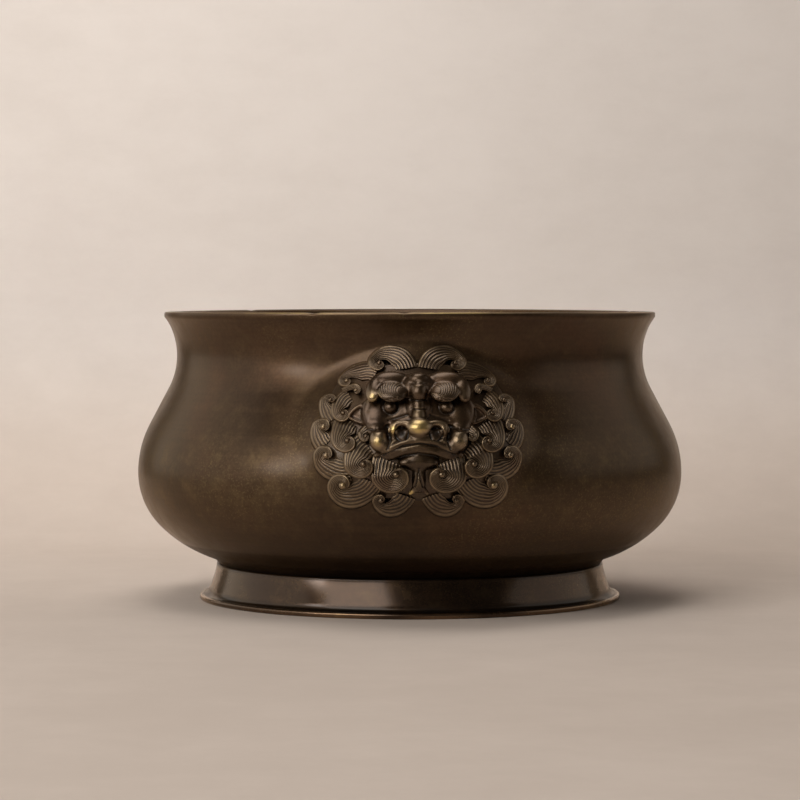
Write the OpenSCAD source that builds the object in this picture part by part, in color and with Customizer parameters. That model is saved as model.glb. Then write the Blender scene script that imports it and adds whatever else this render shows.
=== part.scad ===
// Bombe censer: a round-bellied bronze bowl on a soldered foot, with a lion mask
// pinned to the front and another to the back.
// Millimetres, +Z up, origin on the table under the middle of the foot.
// The front mask faces -Y.

/* [Bowl] */
// Height of the rim above the table
bowl_h = 127; // [105:1:160]
// Diameter at the widest line of the belly
belly_d = 240; // [200:1:300]
// Height of the widest line above the table
belly_z = 56; // [46:1:66]
// Diameter at the narrowest line of the neck
neck_d = 205.5; // [170:0.5:228]
// Height of the flared lip above the narrowest line
lip_h = 19.5; // [12:0.5:24]
// Radius of the lip's flare in profile
lip_curve = 30; // [26:1:60]
// Height of the upright band round the lip's edge
lip_band = 2.2; // [1:0.1:4]
// Wall thickness of the casting
wall = 4; // [3:0.1:6]
// Lean of the straight stretch between shoulder and neck, over the lean of a plain slope
shoulder_turn = 1.51; // [1.3:0.01:1.8]
// Share of the S-curve's two radii that belongs to the shoulder
shoulder_share = 0.6; // [0.5:0.01:0.7]
// Profile radius just under the widest line
haunch_curve = 33; // [26:1:40]

/* [Foot] */
// Height of the foot, up to the underside of the bowl
foot_h = 16; // [12:0.5:22]
// Diameter at the foot's top edge
foot_top_d = 170.8; // [150:0.1:176]
// Diameter at the foot's lower end, above the base flange
foot_low_d = 177; // [172:0.1:190]
// Radius of the hollow moulding that runs out to the flange
foot_flare = 2.4; // [1:0.1:4]
// Wall thickness of the foot
foot_wall = 4.2; // [3:0.1:6]
// Depth of the locating ring under the bowl
spigot_h = 1.6; // [1.2:0.1:3]
// Thickness of the locating rings of bowl and flange
spigot_t = 3.2; // [2:0.1:5]
// Diameter of the base flange
flange_d = 186; // [182:0.1:210]
// Thickness of the base flange
flange_t = 2.4; // [1.5:0.1:4]
// Rounding of the flange's edge
flange_round = 0.9; // [0.4:0.1:1.1]

/* [Lion mask] */
// Width of the mask across its mane
mask_w = 87; // [76:1:94]
// Share of the bowl's height at which the mask's middle stands
mask_share = 0.63; // [0.6:0.01:0.66]
// Rise of the swelling in the bowl's wall behind the mask
swell = 3.5; // [2:0.1:4.5]
// Spherical radius of that swelling
swell_curve = 92; // [85:1:105]
// Thickness of the mane round the head, over the bowl's wall
mane_crown = 10; // [8.5:0.1:12]
// Thickness of the mane at its edge
mane_edge = 2.6; // [1.8:0.1:3.5]
// Thickness of the mane under the head's flat seat, over the fullest line of the wall
head_lift = 4; // [3.4:0.1:4.8]

/* [Pins] */
// Diameter of the pin that holds the head
head_pin_d = 7; // [5:0.1:9]
// Diameter of the pins that hold the mane
mane_pin_d = 5; // [4:0.1:6]
// Distance of the pins below the mask's middle
pin_drop = 5.5; // [4:0.1:7]
// Distance across between the head pin and each mane pin
mane_pin_apart = 32.5; // [27:0.5:35]
// Depth of the head pin beyond the bowl's wall
head_pin_reach = 14; // [11:0.5:16]
// Depth of the mane pins beyond the bowl's wall
mane_pin_reach = 5; // [4:0.1:6]
// Thickness of the washers under the peened heads
washer_t = 1.2; // [0.8:0.1:2]
// Width of a washer outside its pin
washer_rim = 3; // [2:0.1:4]
// Depth of the flat that is cut into the wall under a washer
washer_sink = 0.5; // [0.3:0.1:1]
// Height of a peened head
peen_h = 2.4; // [1.5:0.1:3.5]
// Clearance round pins and locating rings
fit_gap = 0.1; // [0.05:0.01:0.2]
// Clearance between the castings that are laid on each other
seat_gap = 0.15; // [0.1:0.01:0.3]

/* [Hidden] */
front = 0;
rear = 180;

// Steps of one arc of the bowl's profile, and round the vessel
arc_steps = 12;
round_fn = 180;
// Steps round the forms of the mask, and round what is cut away behind it
lobe_fn = 10;
bead_fn = 6;
core_fn = 32;
cut_fn = 72;

bronze = "#3b2c20";
mask_bronze = "#443426";
pin_bronze = "#7a5c34";

belly_r = belly_d / 2;
neck_r = neck_d / 2;
neck_z = bowl_h - lip_h;

// The S-curve from belly to neck: a shoulder arc, a straight stretch and a neck arc
s_out = belly_r - neck_r;
s_up = neck_z - belly_z;
lean = shoulder_turn * atan(s_out / s_up);
s_radii = (s_up * sin(lean) - s_out * cos(lean)) / (1 - cos(lean));
shoulder_curve = s_radii * shoulder_share;
neck_curve = s_radii - shoulder_curve;
shoulder_mid = belly_r - shoulder_curve;
neck_mid = neck_r + neck_curve;
lip_mid = neck_r + lip_curve;

// The underside: a haunch arc over haunch_sweep degrees, then a flatter arc down to a flat floor
haunch_sweep = 45;
haunch_mid = belly_r - haunch_curve;
under_curve = (belly_z - foot_h - haunch_curve * sin(haunch_sweep)) / (1 - sin(haunch_sweep));
under_r = haunch_mid + (haunch_curve - under_curve) * cos(haunch_sweep);
under_z = foot_h + under_curve;

// Pieces of the foot, from the top face of the flange to the underside of the bowl
foot_top_r = foot_top_d / 2;
foot_low_r = foot_low_d / 2;
flange_r = flange_d / 2;
seat_inset = 0.8;
seat_ledge = 1.2;
spigot_r = foot_top_r - foot_wall - seat_ledge;
foot_bore = spigot_r + fit_gap;
lower_bore = foot_low_r - foot_wall;
flange_bore = lower_bore - spigot_t;

// The mask is drawn 87 units wide, about the middle of its back, which leans with the wall
mask_ratio = 1 / 87;
mask_k = mask_w * mask_ratio;
straight_z = belly_z + shoulder_curve * sin(lean);
straight_r = shoulder_mid + shoulder_curve * cos(lean);
mask_z = bowl_h * mask_share;
mask_r = bowl_r(mask_z);
mask_half = mask_w * 0.4;
mask_lean = atan((bowl_r(mask_z - mask_half) - bowl_r(mask_z + mask_half)) / (2 * mask_half));
wall_full = max([for (v = [-24 : 4 : 20]) wall_w(0, v)]);
head_seat = wall_full + head_lift / mask_k;
mane_reach = [44, 35];
core_reach = [40, 31];
core_sink = 1;
core_rings = 5;
mask_depth = 40;
lock_wind = 400;
lock_end = 330;
lock_steps = 8;
lock_crest = 1.6;
lock_rise = 1.4;
bead_r = 1.3;
outer_lift = 0;
inner_lift = 1.8;

// Locks of the mane on the lion's right; the left side mirrors them.
// Each has its eye across and up, the reach of its tail, the tail's bearing,
// the way it winds in (1 is anticlockwise) and its fullness.
outer_locks = [
    [-15.5, 26, 13, 0, 1, 0.7],
    [-28.5, 20, 13, 30, 1, 0.7],
    [-35, 12, 9, 260, -1, 0.9],
    [-37.5, 1, 9, 258, -1, 0.9],
    [-36.5, -10.5, 10, 310, -1, 0.9],
    [-30, -23, 14, 348, -1, 0.7],
    [-14.5, -27, 12.5, 0, -1, 0.7]];
inner_locks = [
    [-24, 16, 6.5, 140, -1, 1.1],
    [-29, 6, 8.5, 110, 1, 1.3],
    [-27.5, -4.5, 9, 100, 1, 1.3],
    [-21, -13.5, 10.5, 80, 1, 1.3],
    [-8.5, -18.5, 11, 150, 1, 1.3]];

// The pins stand square to the wall
pin_z = mask_z - pin_drop;
pin_lean = wall_lean(pin_z);
mane_pin_turn = asin(mane_pin_apart / bowl_r(pin_z));
washer_seat = washer_sink - wall;
washer_face = washer_seat - washer_t;

// Points of an arc about mid, from bearing a0 to a1
function arc(mid, r, a0, a1, steps = arc_steps) =
    [for (i = [0 : steps]) let (a = a0 + (a1 - a0) * i / steps) mid + r * [cos(a), sin(a)]];

// The other leg of a right-angled triangle
function leg(long, short) = sqrt(max(0, long * long - short * short));

// Radius of the bowl's outside at a height between haunch and lip
function bowl_r(z) =
    z < belly_z ? haunch_mid + leg(haunch_curve, z - belly_z) :
    z < straight_z ? shoulder_mid + leg(shoulder_curve, z - belly_z) :
    z < neck_z - neck_curve * sin(lean) ? straight_r - (z - straight_z) * tan(lean) :
    z < neck_z ? neck_mid - leg(neck_curve, z - neck_z) : lip_mid - leg(lip_curve, z - neck_z);

// Lean of the bowl's wall at a height between haunch and neck
function wall_lean(z) =
    z < belly_z ? asin((z - belly_z) / haunch_curve) :
    z < straight_z ? asin((z - belly_z) / shoulder_curve) : lean;

// Height of the bowl's underside at a distance from the axis
function under_at(r) =
    r < under_r ? foot_h :
    r < haunch_mid + haunch_curve * cos(haunch_sweep) ? under_z - leg(under_curve, r - under_r) :
    belly_z - leg(haunch_curve, r - haunch_mid);

// Height of the bowl's wall over the mask's plane at u across and v up, found by stepping towards it
function wall_step(u, v, w, tries) = tries == 0 ? w :
    let (y = mask_r + w * cos(mask_lean) - v * sin(mask_lean),
         z = mask_z + v * cos(mask_lean) + w * sin(mask_lean))
    wall_step(u, v, w + (leg(bowl_r(z), u) - y) * cos(mask_lean), tries - 1);

// Height of the swelling over the mask's plane
function swell_w(u, v) = swell - swell_curve + leg(swell_curve, norm([u, v]));

// What the mane lies on, in the drawing's size: the wall or its swelling, whichever stands out further
function wall_w(u, v) =
    let (x = u * mask_k, y = v * mask_k) max(wall_step(x, y, 0, 6), swell_w(x, y)) / mask_k;

// Height of the mane over the mask's plane
function mane_w(u, v) =
    let (in = max(0, 1 - pow(u / mane_reach[0], 2) - pow(v / mane_reach[1], 2)))
    wall_w(u, v) + (mane_edge + (mane_crown - mane_edge) * in) / mask_k;

// Outer and inner edge of a lock, a degrees in from its tail
function lock_outer(lock, a) = lock[2] * (1 - pow(a / lock_wind, lock[5]));
function lock_inner(lock, a) = lock_outer(lock, a) * (0.25 + 0.35 * a / lock_end);
function lock_place(lock, a, r) =
    [lock[0] + r * cos(lock[3] + lock[4] * a), lock[1] + r * sin(lock[3] + lock[4] * a)];

// Cross-section of a lock: a foot, an edge, the crest, the other edge and its foot
function lock_section(lock, a, lift) =
    let (ri = lock_inner(lock, a), ro = lock_outer(lock, a), top = lift + lock_rise * a / lock_end)
    [for (p = [[0, -mane_edge], [0, top], [0.6, top + lock_crest], [1, top], [1, -mane_edge]])
        let (q = lock_place(lock, a, ri + (ro - ri) * p[0]))
        [q[0], q[1], p[1] < 0 ? wall_w(q[0], q[1]) - mane_edge : mane_w(q[0], q[1]) + p[1]]];

// Outer profile of the bowl, grown by g, from the middle of the floor up to the lip
function outer_profile(g, steps = arc_steps) = concat(
    [[0, foot_h - g]],
    arc([under_r, under_z], under_curve + g, -90, -haunch_sweep, steps),
    arc([haunch_mid, belly_z], haunch_curve + g, -haunch_sweep, 0, steps),
    arc([shoulder_mid, belly_z], shoulder_curve + g, 0, lean, steps),
    arc([neck_mid, neck_z], neck_curve - g, 180 + lean, 180, steps),
    arc([lip_mid, neck_z], lip_curve - g, 180, 180 - asin((lip_h - lip_band) / lip_curve), steps));

lip_r = lip_mid - lip_curve * cos(asin((lip_h - lip_band) / lip_curve));
lip_round = min(0.8, lip_band / 3);

module bowl_outline() {
    inner = outer_profile(-wall);
    polygon(concat(
        outer_profile(0),
        arc([lip_r - lip_round, bowl_h - lip_round], lip_round, 0, 90, 4),
        [[inner[len(inner) - 1][0], bowl_h]],
        [for (i = [len(inner) - 1 : -1 : 0]) inner[i]]));
}

// The space that the bowl's outside takes up, grown by g, open upwards
module bowl_space(g) {
    profile = outer_profile(g, arc_steps / 2);
    rotate_extrude($fn = cut_fn)
        polygon(concat(profile, [[profile[len(profile) - 1][0], bowl_h], [0, bowl_h]]));
}

// The space inside the bowl, carried on above the rim
module bowl_hollow() {
    profile = outer_profile(-wall);
    rotate_extrude($fn = round_fn)
        polygon(concat(profile, [[profile[len(profile) - 1][0], 2 * bowl_h], [0, 2 * bowl_h]]));
}

// Places children on the mask's plane: x across, y up, z out of the wall
module on_mask(side) {
    rotate([0, 0, side]) translate([0, -mask_r, mask_z]) rotate([90 - mask_lean, 0, 0]) children();
}

// Places children on the line of a pin: z runs out from the wall's outer face
module on_pin(side, turn) {
    rotate([0, 0, side + turn]) translate([0, -bowl_r(pin_z), pin_z])
        rotate([90 - pin_lean, 0, 0]) children();
}

// The swelling of the wall behind a mask, grown by g
module swelling(side, g = 0, steps = round_fn) {
    reach = mask_w * 0.8;
    low = mask_w * 0.42;
    depth = swell_curve / 3;
    on_mask(side) intersection() {
        translate([0, 0, swell - swell_curve]) sphere(r = swell_curve + g, $fn = steps);
        translate([-reach, -low, -depth]) cube([2 * reach, 2 * low, 2 * depth]);
    }
}

module pin_holes(side) {
    on_pin(side, 0) pin_hole(head_pin_d);
    for (turn = [-1, 1] * mane_pin_turn) on_pin(side, turn) pin_hole(mane_pin_d);
}

// A hole through the wall with a flat seat for the washer on its inner side
module pin_hole(d) {
    translate([0, 0, -2 * wall]) cylinder(d = d + 2 * fit_gap, h = 4 * wall, $fn = 48);
    translate([0, 0, washer_seat - 2 * wall])
        cylinder(r = d / 2 + washer_rim + fit_gap, h = 2 * wall, $fn = 48);
}

// A blind hole for a pin in a casting that lies on the wall
module pin_bore(d, reach) {
    translate([0, 0, -wall]) cylinder(d = d + 2 * fit_gap, h = wall + reach + fit_gap, $fn = 32);
}

module bowl() {
    color(bronze) difference() {
        union() {
            rotate_extrude($fn = round_fn) bowl_outline();
            difference() {
                union() {
                    swelling(front);
                    swelling(rear);
                }
                bowl_hollow();
            }
            foot_seat();
        }
        pin_holes(front);
        pin_holes(rear);
    }
}

// Flat land and locating ring on the bowl's underside
module foot_seat() {
    seat_r = foot_top_r - seat_inset;
    bore_r = spigot_r - spigot_t;
    rotate_extrude($fn = round_fn) polygon([
        [bore_r, under_at(bore_r) + wall / 2], [bore_r, foot_h - spigot_h],
        [spigot_r, foot_h - spigot_h], [spigot_r, foot_h], [seat_r, foot_h],
        [seat_r, under_at(seat_r) + wall / 2]]);
}

module foot_ring() {
    low_z = flange_t + foot_flare;
    step_z = foot_h - spigot_h - foot_flare;
    color(bronze) rotate_extrude($fn = round_fn) polygon(concat(
        [[foot_bore, foot_h], [foot_bore, foot_h - spigot_h - fit_gap], [lower_bore, step_z - foot_flare],
         [lower_bore, flange_t]],
        arc([foot_low_r + foot_flare, low_z], foot_flare, -90, -180, 6),
        [[foot_top_r, foot_h]]));
}

module base_flange() {
    step_z = foot_h - spigot_h - foot_flare;
    ring_h = (step_z - foot_flare + flange_t) / 2;
    color(bronze) rotate_extrude($fn = round_fn) polygon(concat(
        [[flange_bore, 0]],
        arc([flange_r - flange_round, flange_round], flange_round, -90, 0, 4),
        arc([flange_r - flange_round, flange_t - flange_round], flange_round, 0, 90, 4),
        [[lower_bore - fit_gap, flange_t], [lower_bore - fit_gap, ring_h], [flange_bore, ring_h]]));
}

// One lock of the mane: a ribbon that winds in to a bead
module lock(data, lift) {
    n = 5;
    sections = [for (i = [0 : lock_steps]) lock_section(data, lock_end * i / lock_steps, lift)];
    points = [for (s = sections) each s];
    last = n * lock_steps;
    sides = [for (i = [0 : lock_steps - 1], j = [0 : n - 1])
        let (a = i * n + j, b = i * n + (j + 1) % n)
        each [[a, b, b + n], [a, b + n, a + n]]];
    ends = [for (j = [1 : n - 2]) each [[0, j + 1, j], [last, last + j, last + j + 1]]];
    polyhedron(points, data[4] > 0 ? sides_out(concat(sides, ends)) : concat(sides, ends));
    tip = lock_section(data, lock_end, lift);
    hull() {
        translate(tip[2]) sphere(r = bead_r, $fn = bead_fn);
        translate((tip[0] + tip[4]) / 2) sphere(r = bead_r / 2, $fn = bead_fn);
    }
}

// Triangles turned to face the other way
function sides_out(triangles) = [for (t = triangles) [t[0], t[2], t[1]]];

// A rounded bar through the given points, each [x, y, z, radius]
module bar(points) {
    for (i = [0 : len(points) - 2]) hull() {
        for (p = [points[i], points[i + 1]]) translate([p[0], p[1], p[2]]) sphere(r = p[3], $fn = lobe_fn);
    }
}

// A rounded lump over all the given points, each [x, y, z, radius]
module lump(points) {
    hull() for (p = points) translate([p[0], p[1], p[2]]) sphere(r = p[3], $fn = lobe_fn);
}

module both_sides() {
    children();
    mirror([1, 0, 0]) children();
}

// The mane's body under its locks: rings of points from the middle out, over the wall and in it
module mane_core() {
    places = [for (i = [1 : core_rings], j = [0 : core_fn - 1])
        let (a = 360 * j / core_fn, r = i / core_rings)
        [core_reach[0] * r * cos(a), core_reach[1] * r * sin(a)]];
    n = len(places);
    top = [for (q = places) [q[0], q[1], mane_w(q[0], q[1]) - core_sink]];
    foot = [for (q = places) [q[0], q[1], wall_w(q[0], q[1]) - mane_edge]];
    mids = [[0, 0, mane_w(0, 0) - core_sink], [0, 0, wall_w(0, 0) - mane_edge]];
    rim = n - core_fn;
    faces = [for (j = [0 : core_fn - 1]) let (k = (j + 1) % core_fn) each concat(
        [[2 * n, k, j], [2 * n + 1, n + j, n + k],
         [rim + j, rim + k, n + rim + k], [rim + j, n + rim + k, n + rim + j]],
        [for (i = [0 : core_rings - 2]) let (a = i * core_fn + j, b = i * core_fn + k)
            each [[a, b, b + core_fn], [a, b + core_fn, a + core_fn],
                  [n + a, n + b + core_fn, n + b], [n + a, n + a + core_fn, n + b + core_fn]]])];
    polyhedron(concat(top, foot, mids), faces);
}

module mane_form() {
    mane_core();
    both_sides() {
        for (data = outer_locks) lock(data, outer_lift);
        for (data = inner_locks) lock(data, inner_lift);
    }
}

// Outline of the lion's head, seen from the front; its forms stand on the flat seat
module head_outline() {
    hull() both_sides() {
        translate([13, 15]) circle(r = 8, $fn = lobe_fn * 2);
        translate([16.5, -5]) circle(r = 5, $fn = lobe_fn * 2);
        translate([8, -13]) circle(r = 4, $fn = lobe_fn * 2);
    }
    both_sides() hull() {
        translate([20, 6]) circle(r = 4, $fn = lobe_fn);
        translate([27, 5]) circle(r = 1.8, $fn = lobe_fn);
    }
    hull() {
        translate([0, -14]) circle(r = 4, $fn = lobe_fn);
        translate([0, -24]) circle(r = 4, $fn = lobe_fn);
    }
}

module head_form() {
    lump([[12, 12, 0.5, 8], [-12, 12, 0.5, 8],
          [14, -2, -0.5, 7], [-14, -2, -0.5, 7], [6, -9, 0.5, 7], [-6, -9, 0.5, 7]]);
    // forehead knot, bridge and bulb of the nose
    bar([[0, 20, 8, 3.2], [0, 15, 10, 3.2], [0, 6, 11.5, 3], [0, 2, 14.5, 4.2]]);
    lump([[2, 0.5, 14.5, 3.6], [-2, 0.5, 14.5, 3.6], [0, 3, 14.5, 4]]);
    both_sides() {
        // brow: an inner lobe over the eye and an outer lobe
        bar([[-5, 15, 9, 2.8], [-10.5, 14.5, 8, 4.2], [-15, 15, 6, 3]]);
        bar([[-18.5, 17.5, 4, 3], [-19, 13, 4.5, 2.8]]);
        // eye
        lump([[-11, 8.5, 6.7, 3.4], [-11, 8.5, 2.5, 3]]);
        // cheek, running down to its knob
        bar([[-20, 9, 2.5, 2.4], [-20.5, 4.5, 4, 2.6], [-17.8, 0, 6.5, 3], [-16.3, -5.2, 9, 3.5]]);
        // nostril wing
        bar([[-3.5, 2, 14.5, 2.4], [-8, 2, 13, 2], [-10.3, -0.5, 11.5, 1.9], [-9.5, -3.4, 10.5, 1.7]]);
        // upper lip, lower lip and chin
        bar([[-17.5, -10.5, 6.5, 2.2], [-12, -8.2, 10, 2.4], [-6, -5.6, 12, 2.6], [0, -4.8, 13, 2.7]]);
        bar([[-14.5, -12.8, 5, 2], [-9, -10.8, 8, 2.2], [0, -9.2, 10, 2.4]]);
        lump([[-5, -13, 4.5, 3.6], [-7, -8, 6.5, 4], [0, -12, 5.5, 4]]);
        // ear
        lump([[-21, 8.5, 1.5, 2.2], [-27, 5.5, 0.5, 1.5], [-21, 2.5, 1.5, 2]]);
        // beard
        bar([[0, -15, 3.5, 3.2], [-0.8, -21, 0.5, 3], [-2.2, -25.5, -0.1, 1.7]]);
    }
}

module mane(side) {
    color(mask_bronze) difference() {
        on_mask(side) scale(mask_k) difference() {
            mane_form();
            translate([0, 0, head_seat]) linear_extrude(mask_depth)
                offset(r = seat_gap / mask_k, $fn = lobe_fn) head_outline();
        }
        bowl_space(seat_gap);
        swelling(side, seat_gap, cut_fn);
        on_pin(side, 0) pin_bore(head_pin_d, head_pin_reach);
        for (turn = [-1, 1] * mane_pin_turn) on_pin(side, turn) pin_bore(mane_pin_d, mane_pin_reach);
    }
}

module head(side) {
    color(mask_bronze) difference() {
        on_mask(side) scale(mask_k) translate([0, 0, head_seat]) intersection() {
            head_form();
            linear_extrude(mask_depth) head_outline();
        }
        on_pin(side, 0) pin_bore(head_pin_d, head_pin_reach);
    }
}

// A pin with its end peened to a low dome over the washer
module pin(d, reach) {
    head_r = d / 2 + washer_rim * 0.7;
    dome_r = (head_r * head_r + peen_h * peen_h) / (2 * peen_h);
    translate([0, 0, washer_face]) cylinder(d = d, h = reach - washer_face, $fn = 48);
    intersection() {
        translate([0, 0, washer_face - peen_h + dome_r]) sphere(r = dome_r, $fn = 48);
        translate([0, 0, washer_face - peen_h]) cylinder(r = head_r, h = peen_h, $fn = 48);
    }
}

module washer(d) {
    translate([0, 0, washer_face]) difference() {
        cylinder(r = d / 2 + washer_rim, h = washer_t, $fn = 48);
        translate([0, 0, -washer_t]) cylinder(d = d + 2 * fit_gap, h = 3 * washer_t, $fn = 48);
    }
}

module head_pin(side) {
    color(pin_bronze) on_pin(side, 0) pin(head_pin_d, head_pin_reach);
}

module mane_pins(side) {
    color(pin_bronze) for (turn = [-1, 1] * mane_pin_turn) on_pin(side, turn) pin(mane_pin_d, mane_pin_reach);
}

module washers(side) {
    color(pin_bronze) {
        on_pin(side, 0) washer(head_pin_d);
        for (turn = [-1, 1] * mane_pin_turn) on_pin(side, turn) washer(mane_pin_d);
    }
}

bowl();
foot_ring();
base_flange();
mane(front);  // front_mane
head(front);  // front_head
head_pin(front);  // front_head_pin
mane_pins(front);  // front_mane_pins
washers(front);  // front_washers
mane(rear);  // rear_mane
head(rear);  // rear_head
head_pin(rear);  // rear_head_pin
mane_pins(rear);  // rear_mane_pins
washers(rear);  // rear_washers
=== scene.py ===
"""Visual model of a bombe censer: bowl, foot and two lion masks in worn dark bronze.

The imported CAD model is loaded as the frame. The bowl, the foot and the masks are
modelled again here with their fine relief, and the pins keep their CAD shape.
Lengths are millimetres while a form is shaped and metres in the finished pieces.
"""

import logging
import math
from collections.abc import Iterable, Sequence
from dataclasses import dataclass, replace
from enum import Enum

import bmesh
import bpy
import numpy as np
from mathutils import Euler, Matrix, Vector

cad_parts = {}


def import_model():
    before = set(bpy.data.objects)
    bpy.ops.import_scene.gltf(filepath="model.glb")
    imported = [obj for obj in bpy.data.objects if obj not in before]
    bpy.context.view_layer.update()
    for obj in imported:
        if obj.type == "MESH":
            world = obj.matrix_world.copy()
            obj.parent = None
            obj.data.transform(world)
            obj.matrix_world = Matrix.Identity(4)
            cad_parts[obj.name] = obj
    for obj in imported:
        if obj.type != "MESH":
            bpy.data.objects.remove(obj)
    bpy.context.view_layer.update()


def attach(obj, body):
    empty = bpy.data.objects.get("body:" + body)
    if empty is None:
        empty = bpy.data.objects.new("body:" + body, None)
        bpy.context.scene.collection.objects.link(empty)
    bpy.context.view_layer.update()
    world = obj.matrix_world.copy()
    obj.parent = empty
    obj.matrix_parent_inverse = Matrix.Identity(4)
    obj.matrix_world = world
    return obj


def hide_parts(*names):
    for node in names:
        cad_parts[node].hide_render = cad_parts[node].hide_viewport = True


LOG = logging.getLogger("censer")
MM = 0.001
Array = np.ndarray
Colour = tuple[float, float, float]
Point = tuple[float, float]
Triple = tuple[float, float, float]
Form = bmesh.types.BMesh
Material = bpy.types.Material
Mesh = bpy.types.Mesh
Piece = bpy.types.Object
Socket = bpy.types.NodeSocket
EVEN: Triple = (1.0, 1.0, 1.0)


class Side(Enum):
    """The sides of the bowl that carry a mask, as the sign of the turn from the front."""

    FRONT = 1
    REAR = -1


class Slot(Enum):
    """Names of the finishes."""

    BOWL = "bowl_bronze"
    FOOT = "foot_bronze"
    MASK = "mask_bronze"
    PIN = "pin_bronze"


class Shade(Enum):
    """Vertex attributes that the finishes read."""

    # Wear on edges and high points, partly painted highlight on strand crests, rims and the lit left of the
    # face.
    WEAR = "wear"
    # Painted shade, with some dirt, in hollows, grooves, joints, under edges and inside.
    CAVITY = "cavity"


def smooth(value: Array, low: float, high: float) -> Array:
    """Eases from 0 at the low value to 1 at the high one."""
    t = np.clip((value - low) / (high - low), 0.0, 1.0)
    return t * t * (3.0 - 2.0 * t)


def leg(long: Array | float, short: Array | float) -> Array:
    """Gives the other leg of a right-angled triangle, or 0 where the known leg is the longer."""
    return np.sqrt(np.maximum(0.0, np.square(long) - np.square(short)))


def arc(mid: Point, radius: float, start: float, end: float, steps: int) -> list[Point]:
    """Lists the points of an arc in the profile plane, from one bearing in degrees to another."""
    bearings = np.radians(np.linspace(start, end, steps + 1))
    return [(mid[0] + radius * math.cos(a), mid[1] + radius * math.sin(a)) for a in bearings]


def stations(profile: Sequence[Point], pitch: float) -> list[Point]:
    """Divides the long spans of a profile.

    Args:
        profile: Corner points.
        pitch: Longest span that is left undivided.

    Returns:
        The corner points with points between them.
    """
    out = [profile[0]]
    for a, b in zip(profile, profile[1:]):
        n = max(1, math.ceil(math.dist(a, b) / pitch))
        out += [(a[0] + (b[0] - a[0]) * i / n, a[1] + (b[1] - a[1]) * i / n) for i in range(1, n + 1)]
    return out


def lathe(profile: Sequence[Point], steps: int, closed: bool) -> Form:
    """Turns a profile about the vessel's axis.

    Args:
        profile: Distance from the axis and height of each point.
        steps: Number of spans round the axis.
        closed: Whether the profile's last point joins its first.

    Returns:
        The turned form, in millimetres.
    """
    bm = bmesh.new()
    verts = [bm.verts.new((r, 0.0, z)) for r, z in profile]
    pairs = list(zip(verts, verts[1:])) + ([(verts[-1], verts[0])] if closed else [])
    edges = [bm.edges.new(pair) for pair in pairs]
    bmesh.ops.spin(
        bm, geom=verts + edges, cent=(0, 0, 0), axis=(0, 0, 1), angle=math.tau, steps=steps, use_merge=True
    )
    bmesh.ops.remove_doubles(bm, verts=bm.verts, dist=1e-4)
    bmesh.ops.recalc_face_normals(bm, faces=bm.faces)
    return bm


def coordinates(mesh: Mesh) -> Array:
    """Reads a mesh's vertices.

    Args:
        mesh: The mesh.

    Returns:
        One row of coordinates for each vertex.
    """
    flat = np.empty(len(mesh.vertices) * 3)
    mesh.vertices.foreach_get("co", flat)
    return flat.reshape(-1, 3)


def move(mesh: Mesh, places: Array) -> None:
    """Moves a mesh's vertices, which have one row of coordinates each."""
    mesh.vertices.foreach_set("co", np.ascontiguousarray(places, dtype=np.float64).ravel())
    mesh.update()


def normals(mesh: Mesh) -> Array:
    """Reads a mesh's vertex normals.

    Args:
        mesh: The mesh.

    Returns:
        One row for each vertex.
    """
    flat = np.empty(len(mesh.vertices) * 3)
    mesh.vertex_normals.foreach_get("vector", flat)
    return flat.reshape(-1, 3)


def polar(places: Array) -> tuple[Array, Array, Array]:
    """Gives the distance from the axis, the height and the bearing from the front of each place."""
    x, y, z = places.T
    return np.hypot(x, y), z, np.arctan2(x, -y)


def paint(mesh: Mesh, shade: Shade, values: Array) -> None:
    """Stores a value from 0 to 1 for each vertex under a shade's name."""
    layer = mesh.attributes.get(shade.value) or mesh.attributes.new(shade.value, "FLOAT", "POINT")
    layer.data.foreach_set("value", np.clip(values, 0.0, 1.0).astype(np.float32))


def shade_layers(bm: Form) -> list[bmesh.types.BMLayerItem]:
    """Gives a form's layers of wear with painted highlight, and of painted shade with dirt."""
    return [bm.verts.layers.float[shade.value] for shade in Shade]


def relax(mesh: Mesh, values: Array, rounds: int) -> Array:
    """Averages vertex values over their neighbours.

    Args:
        mesh: The mesh that gives the neighbours.
        values: One value or row for each vertex.
        rounds: Number of passes.

    Returns:
        The averaged values.
    """
    flat = np.empty(len(mesh.edges) * 2, dtype=np.int32)
    mesh.edges.foreach_get("vertices", flat)
    a, b = flat.reshape(-1, 2).T
    count = len(mesh.vertices)
    degree = np.bincount(a, minlength=count) + np.bincount(b, minlength=count)
    out = values.reshape(count, -1).astype(np.float64)
    for _ in range(rounds):
        mean = np.empty_like(out)
        for k in range(out.shape[1]):
            column = out[:, k]
            mean[:, k] = np.bincount(a, column[b], count) + np.bincount(b, column[a], count)
        out = 0.5 * out + 0.5 * mean / np.maximum(degree, 1)[:, None]
    return out.reshape(values.shape)


def add_piece(name: str, bm: Form) -> Piece:
    """Makes a smooth-shaded piece of a finished form.

    Args:
        name: Name of the piece.
        bm: The form, which is freed.

    Returns:
        The new object, linked to the scene.
    """
    mesh = bpy.data.meshes.new(name)
    bm.to_mesh(mesh)
    bm.free()
    mesh.shade_smooth()
    piece = bpy.data.objects.new(name, mesh)
    bpy.context.scene.collection.objects.link(piece)
    return piece


def declare(piece: Piece, node: str, slot: Slot, material: Material) -> None:
    """Gives a piece its finish, hangs it under the root body and hides the CAD node that it replaces.

    Args:
        piece: The finished piece.
        node: CAD node that it replaces.
        slot: Not used.
        material: Its finish.
    """
    piece.data.materials.clear()
    piece.data.materials.append(material)
    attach(piece, "root")
    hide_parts(node)


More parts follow.
